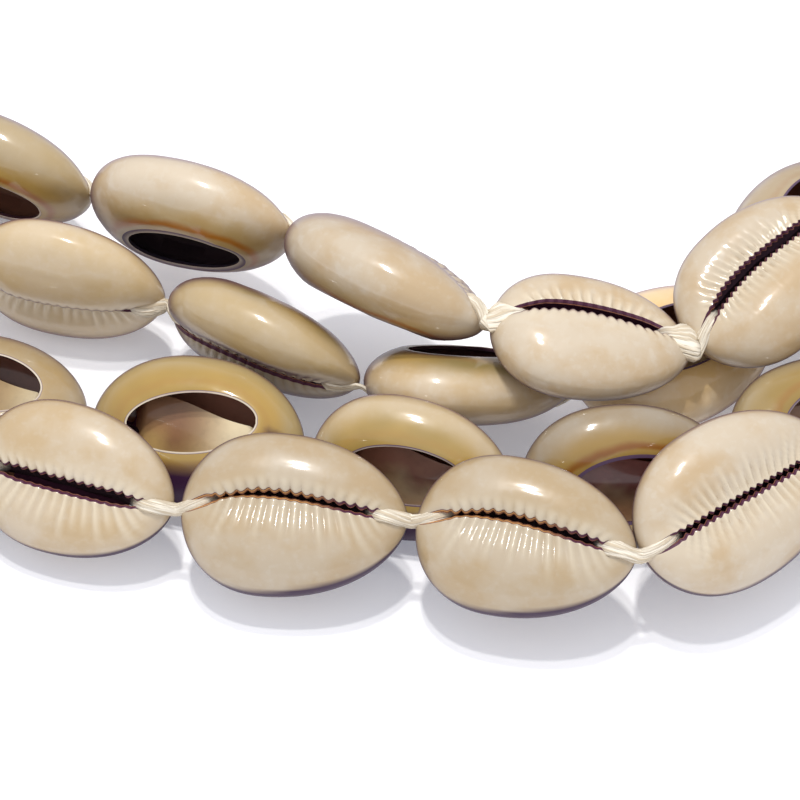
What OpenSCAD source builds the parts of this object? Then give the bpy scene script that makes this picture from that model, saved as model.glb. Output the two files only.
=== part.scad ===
/* [Shells] */
// Length of a shell along its strand
shell_l = 19.2; // [17:0.1:20]
// Width of a shell across its two lips
shell_w = 14; // [12:0.1:14.4]
// Height from a shell's widest line down to its toothed base
base_h = 3.7; // [3:0.1:3.9]
// Height from the widest line up to the plane where the back is cut off
cut_h = 3.3; // [2.8:0.1:3.6]
// Width of the cut across the back, walls included
mouth_w = 9; // [8.4:0.1:9.6]
// Swell of the base past the outline, which sets how round its sides are
swell = 1.8; // [0.8:0.1:2.2]
// Swell of the back past the outline, which sets how steep it is at the cut
back_swell = 0.5; // [0.2:0.1:1]
// Thickness of the toothed base
base_wall = 1.5; // [1:0.1:1.9]
// Thickness of the sides
side_wall = 1.3; // [0.9:0.1:1.7]
// Thickness of the cut back
back_wall = 0.7; // [0.6:0.1:0.9]
// Width of the slit between the two lips
slit_w = 1.5; // [1.4:0.1:2.2]

/* [Strands] */
// Gap between two shells of a strand
shell_gap = 1; // [0.6:0.1:1.4]
// Distance between strands where they lie side by side
strand_pitch = 15.6; // [15.2:0.1:18]
// Thickness of the thread
thread_d = 1; // [0.8:0.1:1.1]
// Clear space between the thread and the top of the slit
thread_room = 0.25; // [0.2:0.05:0.4]

/* [Back tie] */
// Diameter of the tie that gathers the threads
tie_d = 7.6; // [7:0.1:10]
// Length of the tie
tie_l = 9; // [6:0.5:14]
// Gap between neighbouring threads inside the tie
tie_gap = 0.4; // [0.3:0.1:0.6]

/* [Hidden] */
// Where the thread passes from one shell to the next at the front of each strand, left to right:
// x, y, height and the roll of the shell that starts there. At a roll of 0 the slit faces the front, at 90
// it faces up, and at -90 the cut back faces up.
FRONT = [
    [[-47, 27.5, 7, 165], [-28.5, 18.5, 7.5, 165], [-9.5, 10.5, 11.3, 141], [7.5, -2.5, 13.3, 90],
     [26, -2.5, 9.8, 80], [39.5, 11, 14.3, -110], [56, 22.5, 7, -90], [68, 38.5, 3.6, 0]],
    [[-57.5, 16.5, 3.8, -60], [-39.5, 10.5, 7, 0], [-21, 6, 6.5, -25], [-3.5, -4, 6.9, -50],
     [15.5, -2, 3.5, -100], [34, 6, 4, -95], [42.5, 25.5, 4.5, -90], [52, 43, 3.6, 0]],
    [[-65, 3, 3.6, -90], [-46.5, -1.5, 3.6, -95], [-27.5, -6, 4.5, -120], [-8, -10.5, 5.6, -145],
     [10, -15, 6.1, -150], [29, -12.5, 6.2, -115], [45.5, -3, 4.2, -100], [63.5, 7.3, 3.6, 0]],
    [[-74.5, -11.5, 3.6, -90], [-55.5, -16.5, 4.5, 70], [-37, -12, 7, 45], [-19, -18.5, 7.5, 55],
     [1, -20.5, 8.5, 55], [20, -25, 9.5, 50], [37, -13.5, 10.5, 60], [55, -14.2, 5.5, 85], [74.5, -6, 3.6, 0]]
];

// The plain way round to the tie at the back: x and y of the innermost lane, and how far the lanes stand
// apart there, as a share of their usual distance
WAY_RIGHT = [[63, 66, 1], [61, 94, 1], [46, 118, 1], [22, 132, 0.95]];
WAY_LEFT = [[-64, 40, 1], [-76, 66, 1], [-74, 96, 1], [-58, 119, 1], [-34, 132, 0.95]];
TIE_AT = [-6, 138];

// Lane of each strand on the left and on the right, counted from the innermost
LANES = [[0, 1], [1, 0], [2, 2], [3, 3]];

// Middle of the whole necklace in the route's own places
CENTRE = [-6, 74.2];

// Length of bare thread from the last shell to the middle of the tie, for each lane
BARE = [16, 34, 46, 58];
// Gap from the tie to where the threads come together beside it
GATHER = 3.5;
// Middle of the loop, from which the outer lanes are spread
MIDDLE = [-6, 66];

$fn = 96;

// Height of the thread above the surface where a shell lies flat, on its base or on its cut back
lie_h = (base_h + cut_h) / 2;
// How far the thread lies towards the base from a shell's widest line
thread_z = (base_h - cut_h) / 2;

function unit(v) = v / norm(v);
function xy(p) = [p[0], p[1]];

// A point of the plain way round in one lane
function way_point(row, lane) =
    let (out = unit(xy(row) - MIDDLE))
    xy(row) + out * lane * strand_pitch * row[2];

// A smooth curve through points, with even steps between each two of them
function curve_at(a, b, c, d, t) =
    0.5 * ((2 * b) + (c - a) * t + (2 * a - 5 * b + 4 * c - d) * t * t
           + (3 * b - a - 3 * c + d) * t * t * t);
function curve(pts, steps) = [
    for (i = [1 : len(pts) - 3]) for (s = [0 : steps - 1])
        curve_at(pts[i - 1], pts[i], pts[i + 1], pts[i + 2], s / steps),
    pts[len(pts) - 2]
];

// Lengths along a line of points, from its start to each point
function runs(pts) = [
    for (i = 0, run = 0; i < len(pts); i = i + 1,
         run = run + (i < len(pts) ? norm(pts[i] - pts[i - 1]) : 0)) run
];
function place(pts, run, s, i = 0) =
    i >= len(pts) - 2 || run[i + 1] >= s
        ? pts[i] + (pts[i + 1] - pts[i]) * (s - run[i]) / (run[i + 1] - run[i])
        : place(pts, run, s, i + 1);

// The line from the end of a strand's front stretch round to the tie
function side_line(lane, way, before, end) =
    let (round_way = [for (w = way) way_point(w, lane)], last = round_way[len(way) - 1])
    curve(concat([xy(before), xy(end)], round_way, [TIE_AT, TIE_AT + (TIE_AT - last) / 4]), 8);

// Number of shells that lie flat on one side
function side_count(length) = round(length / (shell_l + shell_gap));

// Joints between the shells that lie flat on one side, counted away from the front
function side_joints(lane, way, before, end) =
    let (line = side_line(lane, way, before, end), run = runs(line),
         length = run[len(run) - 1] - BARE[lane], step = length / side_count(length))
    [for (i = [1 : side_count(length)])
        concat(place(line, run, i * step), [lie_h * (step - shell_gap) / shell_l])];

// Points of the bare thread on one side, from the last shell to just before the tie
function bare_points(lane, way, before, end) =
    let (line = side_line(lane, way, before, end), run = runs(line), start = run[len(run) - 1] - BARE[lane],
         free = BARE[lane] - tie_l / 2 - 2 * GATHER, steps = max(1, round(free / 9)))
    [for (i = [1 : steps]) concat(place(line, run, start + i * free / (steps + 0.5)), [thread_d])];

function reversed(list) = [for (i = [len(list) - 1 : -1 : 0]) list[i]];
function xyz(p) = [p[0], p[1], p[2]];

function right_joints(k) =
    let (f = FRONT[k], n = len(f)) side_joints(LANES[k][1], WAY_RIGHT, f[n - 2], f[n - 1]);
function left_joints(k) = side_joints(LANES[k][0], WAY_LEFT, FRONT[k][1], FRONT[k][0]);
function right_bare(k) =
    let (f = FRONT[k], n = len(f)) bare_points(LANES[k][1], WAY_RIGHT, f[n - 2], f[n - 1]);
function left_bare(k) = bare_points(LANES[k][0], WAY_LEFT, FRONT[k][1], FRONT[k][0]);

// All joints of strand k, from the tie down the left, across the front and up the right
function joints(k) = concat(reversed(left_joints(k)), [for (p = FRONT[k]) xyz(p)], right_joints(k));

// Roll of each shell: every third one that lies flat has its slit up
function rolls(k) =
    let (left = len(left_joints(k)), front = len(FRONT[k]) - 1, right = len(right_joints(k)))
    [for (i = [0 : left + front + right - 1])
        i < left || i >= left + front ? ((i + k) % 3 == 0 ? 90 : -90) : FRONT[k][i - left][3]];

// Two balls either side of the long axis, and what both of them hold
module ball_pair(apart, high, r) {
    intersection() {
        translate([0, apart, high]) sphere(r = r);
        translate([0, -apart, high]) sphere(r = r);
    }
}

// Outer or inner form of a shell of size s, from three pairs of balls: base, sides and back
module shell_form(s, base_in, side_in, back_in) {
    half_w = shell_w / 2;
    plan_r = (pow(shell_l / 2, 2) + half_w * half_w) / (2 * half_w);
    apart = plan_r - half_w;
    wide_r = plan_r + swell;
    base_z = (wide_r * wide_r - apart * apart - base_h * base_h) / (2 * base_h);
    back_r = plan_r + back_swell;
    back_z = (pow(apart + mouth_w / 2, 2) + cut_h * cut_h - back_r * back_r) / (2 * cut_h);
    intersection() {
        ball_pair(apart * s, base_z * s, norm([wide_r, base_z]) * s - base_in);
        ball_pair(apart * s, 0, plan_r * s - side_in);
        ball_pair(apart * s, back_z * s, norm([back_r, back_z]) * s - back_in);
    }
}

// One shell with its back cut off, hollow, with a slit that runs from tip to tip
module shell(length) {
    s = length / shell_l;
    difference() {
        shell_form(s, 0, 0, 0);
        shell_form(s, base_wall, side_wall, back_wall);
        translate([-length, -length, cut_h * s]) cube([2 * length, 2 * length, length]);
        translate([-length, -slit_w / 2, -length])
            cube([2 * length, slit_w, length - thread_z + thread_d / 2 + thread_room]);
    }
}

// A shell between two joints of its strand
module strung_shell(a, b, roll) {
    way = b - a;
    turn = atan2(way[1], way[0]);
    rise = atan2(way[2], norm(xy(way)));
    length = norm(way) - shell_gap;
    translate((a + b) / 2)
    rotate([0, -rise, turn])
    rotate([-90 - roll, 0, 0])
    translate([0, 0, thread_z * length / shell_l])
    shell(length);
}

module strand_shells(k) {
    j = joints(k);
    r = rolls(k);
    for (i = [0 : len(j) - 2]) strung_shell(j[i], j[i + 1], r[i]);
}

// Where thread k runs through the tie, across and up from the tie's axis
function tie_place(k) = (thread_d + tie_gap) / 2 * [k < 2 ? -1 : 1, k % 2 == 0 ? -1 : 1];

// Points of thread k through the tie, from its left to its right
function tie_points(k) =
    let (reach = tie_l / 2 + GATHER, off = tie_place(k))
    [for (side = [-reach, -tie_l / 2, tie_l / 2, reach])
        [TIE_AT[0] + side, TIE_AT[1] + off[0], tie_d / 2 + off[1]]];

// The closed line of thread k
function thread_points(k) =
    concat(tie_points(k), reversed(right_bare(k)), reversed(joints(k)), left_bare(k));

// A closed round cord along points
module closed_cord(pts, d, sides) {
    n = len(pts);
    rings = [
        for (i = [0 : n - 1])
            let (way = unit(pts[(i + 1) % n] - pts[(i + n - 1) % n]), across = unit(cross([0, 0, 1], way)),
                 up = cross(way, across))
            for (j = [0 : sides - 1])
                pts[i] + d / 2 * (across * cos(360 * j / sides) + up * sin(360 * j / sides))
    ];
    skin = [
        for (i = [0 : n - 1]) for (j = [0 : sides - 1])
            let (a = i * sides + j, b = i * sides + (j + 1) % sides, c = ((i + 1) % n) * sides + j,
                 e = ((i + 1) % n) * sides + (j + 1) % sides)
            each [[a, c, b], [b, c, e]]
    ];
    polyhedron(points = rings, faces = skin);
}

module thread(k) {
    closed_cord(thread_points(k), thread_d, 6);
}

// The wound knot that gathers the threads, as one plain barrel with a bore
module tie() {
    bore_r = norm(tie_place(0)) + thread_d / 2 + tie_gap;
    translate([TIE_AT[0], TIE_AT[1], tie_d / 2])
    rotate([0, 90, 0])
    difference() {
        intersection() {
            cylinder(d = tie_d, h = tie_l, center = true);
            sphere(d = norm([tie_l, tie_d]) - 1);
        }
        cylinder(r = bore_r, h = 2 * tie_l, center = true);
    }
}

// Moves the route's own places so that the whole necklace is centred
module centred() {
    translate([-CENTRE[0], -CENTRE[1], 0]) children();
}

module inner_strand_shells() { color("burlywood") centred() strand_shells(0); }
module second_strand_shells() { color("tan") centred() strand_shells(1); }
module third_strand_shells() { color("wheat") centred() strand_shells(2); }
module outer_strand_shells() { color("navajowhite") centred() strand_shells(3); }
module inner_thread() { color("ivory") centred() thread(0); }
module second_thread() { color("ivory") centred() thread(1); }
module third_thread() { color("ivory") centred() thread(2); }
module outer_thread() { color("ivory") centred() thread(3); }
module back_tie() { color("ivory") centred() tie(); }

inner_strand_shells();
second_strand_shells();
third_strand_shells();
outer_strand_shells();
inner_thread();
second_thread();
third_thread();
outer_thread();
back_tie();
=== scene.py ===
"""Looks of a necklace of cut cowrie shells: four strands on one tie, lying on a pale floor.

Lengths are in millimetres, in the route's own places, until a piece's mesh is made in metres.
"""

import logging
import math
import random
from dataclasses import dataclass, field
from enum import Enum

import bpy
import numpy as np
from mathutils import Matrix, Vector

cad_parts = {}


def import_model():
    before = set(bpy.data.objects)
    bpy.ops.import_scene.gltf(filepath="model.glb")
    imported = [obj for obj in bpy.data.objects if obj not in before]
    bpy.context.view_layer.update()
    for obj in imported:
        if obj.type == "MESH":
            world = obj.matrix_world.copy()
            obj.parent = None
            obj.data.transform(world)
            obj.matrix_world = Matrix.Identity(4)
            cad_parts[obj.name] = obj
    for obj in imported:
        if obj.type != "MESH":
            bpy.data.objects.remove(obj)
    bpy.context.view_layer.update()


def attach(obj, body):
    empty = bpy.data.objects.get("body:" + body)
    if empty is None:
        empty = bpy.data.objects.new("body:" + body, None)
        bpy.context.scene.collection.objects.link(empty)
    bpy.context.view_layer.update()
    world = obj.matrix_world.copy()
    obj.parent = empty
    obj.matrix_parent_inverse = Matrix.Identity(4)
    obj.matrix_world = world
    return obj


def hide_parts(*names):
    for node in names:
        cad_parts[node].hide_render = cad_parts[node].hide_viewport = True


LOG = logging.getLogger("necklace")
MM = 0.001
# How deep a bump is, in metres
BUMP_DEPTH = 0.0004
Colour = tuple[float, float, float]
Socket = bpy.types.NodeSocket


class StrandName(Enum):
    """The strands, from the innermost to the front one."""

    INNER = 0
    SECOND = 1
    THIRD = 2
    OUTER = 3

    @property
    def shells_node(self) -> str:
        """Name of the CAD node that holds the strand's shells."""
        return f"{self.name.lower()}_strand_shells"

    @property
    def thread_node(self) -> str:
        """Name of the CAD node that holds the strand's thread."""
        return f"{self.name.lower()}_thread"


def unit(v: np.ndarray) -> np.ndarray:
    """The vector at length 1."""
    return v / np.linalg.norm(v)


def half_up(value: float) -> int:
    """The nearest whole number, with halves rounded up."""
    return math.floor(value + 0.5)


def rotation(axis: str, degrees: float) -> np.ndarray:
    """A turn about one axis as a 3 by 3 matrix."""
    return np.array(Matrix.Rotation(math.radians(degrees), 3, axis))


def ramp(value: np.ndarray | float, low: np.ndarray | float, high: np.ndarray | float) -> np.ndarray:
    """Rises evenly from 0 at low to 1 at high. It falls where low is the larger."""
    return np.clip((value - low) / (high - low), 0, 1)


def circle(count: int) -> np.ndarray:
    """Even angles once round, in radians."""
    return np.arange(count) / count * 2 * np.pi


# The route of the strands


@dataclass(frozen=True)
class Line:
    """A line of points that can be measured along."""

    points: np.ndarray

    @property
    def runs(self) -> np.ndarray:
        """Length from the start to each point."""
        return np.concatenate([[0], np.cumsum(np.linalg.norm(np.diff(self.points, axis=0), axis=1))])

    def at(self, run: float) -> np.ndarray:
        """The point at a length along the line."""
        return np.array([np.interp(run, self.runs, self.points[:, i]) for i in range(self.points.shape[1])])


def curve_point(a: np.ndarray, b: np.ndarray, c: np.ndarray, d: np.ndarray, t: float) -> np.ndarray:
    """The place at a share t of the way from b to c on a smooth curve through four points."""
    return 0.5 * (2 * b + (c - a) * t + (2 * a - 5 * b + 4 * c - d) * t * t + (3 * b - a - 3 * c + d) * t**3)


def smooth_line(points: list[np.ndarray], steps: int) -> Line:
    """A smooth curve through all points but the first and the last.

    Args:
        points: The points, with one extra at each end that only steers.
        steps: Even steps between each two points.

    Returns:
        The curve as a line.
    """
    out = []
    for a, b, c, d in zip(points, points[1:], points[2:], points[3:]):
        out.extend(curve_point(a, b, c, d, step / steps) for step in range(steps))
    out.append(points[-2])
    return Line(np.array(out))


@dataclass(frozen=True)
class Route:
    """Where the strands lie. The numbers are the part's own, x right, y away from the viewer, z up."""

    shell_l: float = 19.2
    shell_gap: float = 1.0
    base_h: float = 3.7
    cut_h: float = 3.3
    pitch: float = 15.6
    thread_d: float = 1.0
    tie_d: float = 7.6
    tie_l: float = 9.0
    tie_gap: float = 0.4
    gather: float = 3.5
    way_steps: int = 8
    lead_out: float = 0.25
    thread_step: float = 9.0
    slit_up: int = 90
    slit_up_every: int = 3
    centre: tuple = (-6, 74.2)
    middle: tuple = (-6, 66)
    tie_at: tuple = (-6, 138)
    # Lane that each strand takes on its left and on its right
    lanes: tuple = ((0, 1), (1, 0), (2, 2), (3, 3))
    # Length of bare thread beside the tie, by lane
    bare: tuple = (16, 34, 46, 58)
    # Points of the innermost lane's way to the tie: x, y, and how much of the lanes' pitch counts there
    way_right: tuple = ((63, 66, 1), (61, 94, 1), (46, 118, 1), (22, 132, 0.95))
    way_left: tuple = ((-64, 40, 1), (-76, 66, 1), (-74, 96, 1), (-58, 119, 1), (-34, 132, 0.95))
    # Joints of each strand's front stretch, from its left: x, y, z, and the roll of the shell that follows
    front: tuple = (
        ((-47, 27.5, 7, 165), (-28.5, 18.5, 7.5, 165), (-9.5, 10.5, 11.3, 141), (7.5, -2.5, 13.3, 90),
         (26, -2.5, 9.8, 80), (39.5, 11, 14.3, -110), (56, 22.5, 7, -90), (68, 38.5, 3.6, 0)),
        ((-57.5, 16.5, 3.8, -60), (-39.5, 10.5, 7, 0), (-21, 6, 6.5, -25), (-3.5, -4, 6.9, -50),
         (15.5, -2, 3.5, -100), (34, 6, 4, -95), (42.5, 25.5, 4.5, -90), (52, 43, 3.6, 0)),
        ((-65, 3, 3.6, -90), (-46.5, -1.5, 3.6, -95), (-27.5, -6, 4.5, -120), (-8, -10.5, 5.6, -145),
         (10, -15, 6.1, -150), (29, -12.5, 6.2, -115), (45.5, -3, 4.2, -100), (63.5, 7.3, 3.6, 0)),
        ((-74.5, -11.5, 3.6, -90), (-55.5, -16.5, 4.5, 70), (-37, -12, 7, 45), (-19, -18.5, 7.5, 55),
         (1, -20.5, 8.5, 55), (20, -25, 9.5, 50), (37, -13.5, 10.5, 60), (55, -14.2, 5.5, 85),
         (74.5, -6, 3.6, 0)),
    )

    def to_frame(self, points: np.ndarray) -> np.ndarray:
        """Moves the route's places to the part's own frame, still in millimetres."""
        return points - np.array([self.centre[0], self.centre[1], 0.0])

    def _side_line(self, k: int, right: bool) -> Line:
        """The line from the end of a strand's front stretch round to the tie.

        Args:
            k: Number of the strand.
            right: Whether it is the strand's right side.

        Returns:
            The line, in the plan.
        """
        front = [np.array(row[:2], float) for row in self.front[k]]
        before, end = (front[-2], front[-1]) if right else (front[1], front[0])
        lane, way = self.lanes[k][right], self.way_right if right else self.way_left
        rows = [np.array(row[:2], float) for row in way]
        rows = [p + unit(p - self.middle) * lane * self.pitch * row[2] for p, row in zip(rows, way)]
        tie = np.array(self.tie_at, float)
        beyond = tie + (tie - rows[-1]) * self.lead_out
        return smooth_line([before, end, *rows, tie, beyond], self.way_steps)

    def _side(self, k: int, right: bool) -> tuple[list, list]:
        """One side of a strand, from the front round to the tie.

        Args:
            k: Number of the strand.
            right: Whether it is the strand's right side.

        Returns:
            Joints of the shells that lie flat there, and points of the bare thread after them.
        """
        line, bare = self._side_line(k, right), self.bare[self.lanes[k][right]]
        length = line.runs[-1] - bare
        count = half_up(length / (self.shell_l + self.shell_gap))
        step = length / count
        high = (self.base_h + self.cut_h) / 2 * (step - self.shell_gap) / self.shell_l
        joints = [np.append(line.at(i * step), high) for i in range(1, count + 1)]
        free = bare - self.tie_l / 2 - 2 * self.gather
        steps = max(1, half_up(free / self.thread_step))
        runs = [length + i * free / (steps + 0.5) for i in range(1, steps + 1)]
        return joints, [np.append(line.at(run), self.thread_d) for run in runs]

    def joints(self, k: int) -> np.ndarray:
        """All joints of a strand, from the tie down the left, across the front and up the right."""
        left, right = self._side(k, False)[0], self._side(k, True)[0]
        return np.array([*left[::-1], *[np.array(row[:3], float) for row in self.front[k]], *right])

    def rolls(self, k: int) -> list[float]:
        """Roll of each shell: the front's own, and beside it every third slit up and the others slit down.

        Args:
            k: Number of the strand.

        Returns:
            The rolls in degrees, in the order of the joints.
        """
        shown, count = self.shown(k), len(self.joints(k)) - 1
        flat = [self.slit_up if (i + k) % self.slit_up_every == 0 else -self.slit_up for i in range(count)]
        return [self.front[k][i - shown.start][3] if i in shown else flat[i] for i in range(count)]

    def shown(self, k: int) -> range:
        """Numbers of the shells in a strand's front stretch."""
        left = len(self._side(k, False)[0])
        return range(left, left + len(self.front[k]) - 1)

    def tie_points(self, k: int) -> list[np.ndarray]:
        """Where a thread runs through the tie.

        Args:
            k: Number of the strand, which takes its own corner of the bore.

        Returns:
            Points from the tie's left to its right.
        """
        off = (self.thread_d + self.tie_gap) / 2
        across, up = (-off if k < 2 else off), (-off if k % 2 == 0 else off)
        reach = self.tie_l / 2 + self.gather
        return [np.array([self.tie_at[0] + side, self.tie_at[1] + across, self.tie_d / 2 + up])
                for side in (-reach, -self.tie_l / 2, self.tie_l / 2, reach)]

    def loose_ends(self, k: int) -> tuple[list, list]:
        """Points of the bare thread on the left and on the right of the tie, away from the shells."""
        return self._side(k, False)[1], self._side(k, True)[1]


@dataclass(frozen=True)
class Placed:
    """A shell's place: its middle, its turn and its length."""

    middle: np.ndarray
    turn: np.ndarray
    length: float

    @classmethod
    def between(cls, a: np.ndarray, b: np.ndarray, roll: float, route: Route) -> "Placed":
        """The place of a shell between two joints of its strand.

        Args:
            a: The joint before it.
            b: The joint after it.
            roll: Its roll in degrees: 90 has the slit up, and -90 the cut.
            route: The route, for the shells' sizes.

        Returns:
            The shell's place.
        """
        way = b - a
        heading = math.degrees(math.atan2(way[1], way[0]))
        rise = math.degrees(math.atan2(way[2], math.hypot(way[0], way[1])))
        turn = rotation("Z", heading) @ rotation("Y", -rise) @ rotation("X", -90 - roll)
        length = float(np.linalg.norm(way)) - route.shell_gap
        lift = (route.base_h - route.cut_h) / 2 * length / route.shell_l
        return cls((a + b) / 2 + turn @ np.array([0, 0, lift]), turn, length)

    def put(self, points: np.ndarray) -> np.ndarray:
        """Moves points from the shell's own frame to the route's."""
        return points @ self.turn.T + self.middle


# The shells


class Detail(Enum):
    """How finely a shell is made: columns round it, and which of its rows are kept."""

    FINE = (276, 1)
    PLAIN = (64, 2)


class Skin(Enum):
    """The finishes of a shell, in the order of its material slots."""

    OUTSIDE = 0
    EDGE = 1
    INSIDE = 2


class Across(Enum):
    """How far across a shell each part of its skin starts, in the numbers that the finishes read."""

    SLIT = 0.0
    WIDEST = 1.0
    EDGE = 2.1
    HOLLOW = 2.2
    FLOOR = 2.6
    BRINK = 2.9
    UNDER = 2.93
    WALL = 2.95


@dataclass(frozen=True)
class ShellLook:
    """What tells one shell from the next. Sides are 1 for +y and -1 for -y in the shell's own frame."""

    slit_half: float = 0.62
    narrow: float = 0.0
    bend: float = 0.5
    widest: float = -0.14
    teeth: int = 17
    # Side of the slit that has ribs, or 0 for both
    ribs: int = -1
    rib_reach: float = 2.7
    mouth: tuple = (1.0, 1.0)
    mouth_shift: float = 0.0
    mouth_turn: float = 0.0
    # Brightness of the whole shell. On a few shells below it is set as painted light or painted shade
    tone: float = 1.0
    warm: float = 0.6
    gold: float = 0.8
    line: float = 0.5
    olive: float = 0.4
    # The purple band on one side: partly the shell's own dark lower layer, partly painted shade under the
    # shell
    purple: float = 0.0
    purple_side: int = 1
    purple_from: float = 0.93
    purple_end: float = 1.02
    edge: float = 0.2
    rim: float = 1.0
    # How lit the inside is painted: below 1 it darkens to painted shade, above 1 the whorl turns cream as
    # painted light and the slit's ochre shows
    inside: float = 1.0
    knots: tuple = (1.0, 1.0)
    seed: float = 0.0


@dataclass
class ShellMesh:
    """Points, quads, the finish of each quad, and what the finishes read at each point."""

    points: np.ndarray
    quads: np.ndarray
    finish: np.ndarray
    form: np.ndarray
    tint: np.ndarray
    mark: np.ndarray
    place: np.ndarray


@dataclass(frozen=True)
class Row:
    """One row of points round a shell: its place across the skin, its finish, and two marks at each point.

    The relief is how much a point belongs to a rib or, inside, to the whorl. The stain is how purple the
    outside is, partly as painted shade, how pale the cut edge is, or how lit the inside is painted: dim as
    painted shade, bright as painted light.
    """

    points: np.ndarray
    across: float
    skin: Skin
    relief: np.ndarray
    stain: np.ndarray


@dataclass(frozen=True)
class Ring:
    """What all rows of a shell share, column by column. Closing is near 0 at the tips, and flat is 0."""

    along: np.ndarray
    side: np.ndarray
    rim: np.ndarray
    swell: np.ndarray
    slit: np.ndarray
    slit_along: np.ndarray
    open_half: np.ndarray
    closing: np.ndarray
    ribbed: np.ndarray
    toothed: np.ndarray
    flat: np.ndarray


@dataclass(frozen=True)
class ShellShape:
    """One cowrie with its back cut off, x from its blunt end to its pointed end and the slit towards -z."""

    length: float = 19.5
    width: float = 14.0
    base_h: float = 3.7
    cut_h: float = 3.3
    dome: float = 3.85
    mouth_l: float = 12.0
    mouth_w: float = 6.8
    # The inside: how deep its floor lies, and its size along and across as shares of the outside's
    inner_base: float = 2.3
    inner_share: tuple = (0.87, 0.81)
    # Roundness towards the blunt end and towards the pointed one, in the plan and in height, and across
    plan_round: tuple = ((2.3, 0.52), (2.1, 0.58))
    height_round: tuple = ((2.6, 0.5), (2.4, 0.6))
    across_round: float = 0.46
    # How much closer together the columns are at the tips
    crowding: float = 0.28
    # The slit: its reach, its half width at the ends and the zone where that starts, and the zones where it
    # narrows and widens again. The reach and the zones are shares of the half length
    slit_reach: float = 0.975
    slit_end: float = 0.55
    end_zone: tuple = (0.5, 0.8)
    narrow_from: tuple = (-0.72, -0.57)
    narrow_to: tuple = (-0.3, -0.55)
    # The slit's slanting wall: how far in and how deep it goes
    wall_in: float = 0.24
    wall_deep: float = 0.4
    # The lips: how deep they roll in, how far out, how sharply, and the share of a rib's height on them
    smooth_lip: tuple = (0.75, 0.6, 1.0, 0.4)
    ribbed_lip: tuple = (1.08, 2.1, 2.0, 1.0)
    rib: float = 0.31
    # The teeth: how far they reach into the slit on a smooth lip, the share of that on a ribbed one, alone or
    # opposite another, and their most as a share of the slit's half width
    tooth: float = 0.32
    ribbed_tooth: float = 0.3
    facing_tooth: float = 0.8
    tooth_limit: float = 0.9
    # How fast the teeth fade out beside the slit, and where they stand along it: their middle, and the zone
    # where they begin
    tooth_fade: float = 0.45
    tooth_shift: float = 0.04
    tooth_zone: tuple = (0.8, 0.68)
    # The ribs: where they stand along the slit, how they fan out, where their relief starts beside the edge,
    # how unequal they are, and how far they reach on a smooth lip
    rib_origin: float = 0.76
    rib_span: float = 1.6
    rib_fan: float = 0.5
    rib_start: tuple = (-0.09, 0.21)
    rib_vary: float = 2.4
    smooth_rib_reach: float = 0.8
    # The purple underside, partly the shell's own dark layer and partly painted shade under the shell: how
    # much later it starts at the blunt end, over which zone that fades, and how soft the ends of the purple
    # are
    purple_later: float = 0.05
    purple_zone: tuple = (-0.6, 0.3)
    purple_soft: float = 0.035
    purple_end_soft: float = 0.1
    # The cut edge's drop, and the thickness of the wall at the cut
    edge_drop: float = 0.02
    edge_wall: float = 0.35
    # The whorl inside: where it rolls up along the shell and across the floor, its height, its dip, and where
    # its crest lies
    whorl_zone: tuple = (0.82, 0.54)
    whorl_rise: tuple = (0.97, 0.37)
    whorl_top: float = 1.05
    whorl_dip: float = 0.25
    crest_side: float = 2.1
    crest_turn: float = 2.6
    crest_at: float = 0.05
    # The floor's edge beside the slit: how far along it goes, as a share of the slit, and how far beside it
    under_share: float = 0.93
    under_out: float = 0.3
    # The whorl's own underside: share of the way back to the slit and height of each row, how far beside the
    # floor's edge it ends, and how deep that edge lies as a share of the floor
    under_rows: tuple = ((0.06, 0.55), (0.45, 0.42), (0.95, -0.3))
    under_in: float = 0.35
    under_low: float = 0.9
    # Rows from the slit to the rim, from the rim to the cut, in the hollow and on its floor, as shares
    base_rows: tuple = (0, 0.02, 0.05, 0.09, 0.15, 0.23, 0.33, 0.45, 0.58, 0.7, 0.8, 0.88, 0.92, 0.95, 0.98,
                        0.99, 1)
    side_rows: tuple = (0.004, 0.015, 0.04, 0.09, 0.16, 0.26, 0.4, 0.56, 0.74, 0.9, 1)
    hollow_rows: tuple = (0.97, 0.86, 0.66, 0.4, 0.15, 0)
    floor_rows: tuple = (0.9, 0.7, 0.45, 0.2, 0)

    def _share(self, x: np.ndarray, look: ShellLook) -> np.ndarray:
        """How far a place is from the widest place to the tip on its side, from 0 to 1."""
        w = look.widest
        return np.clip(np.where(x < w, (w - x) / (w + 1), (x - w) / (1 - w)), 0, 1)

    def _rounded(self, x: np.ndarray, look: ShellLook, blunt: tuple, pointed: tuple) -> np.ndarray:
        """A rounded rise from 0 at the tips to 1 at the widest place.

        Args:
            x: Places along the shell, from -1 to 1.
            look: What tells this shell from the next.
            blunt: The two powers that round it towards the blunt end.
            pointed: The two powers that round it towards the pointed end.

        Returns:
            The rise at each place.
        """
        q = self._share(x, look)
        return np.where(x < look.widest, *((1 - q**inner) ** outer for inner, outer in (blunt, pointed)))

    def outline(self, x: np.ndarray, look: ShellLook) -> np.ndarray:
        """Half width at x, both as shares, from 0 at the ends to 1 at the widest place."""
        return self._rounded(x, look, *self.plan_round)

    def swell(self, x: np.ndarray, look: ShellLook) -> np.ndarray:
        """Height at x as a share of the greatest."""
        return self._rounded(x, look, *self.height_round)

    def slit_line(self, x: np.ndarray, look: ShellLook) -> np.ndarray:
        """Where the middle of the slit lies at x, which is a share from -1 to 1: it bends like an S."""
        return look.bend * ((1 - x**2) * (1 - x) + 0.35 * x * (1 - x**4))

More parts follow.
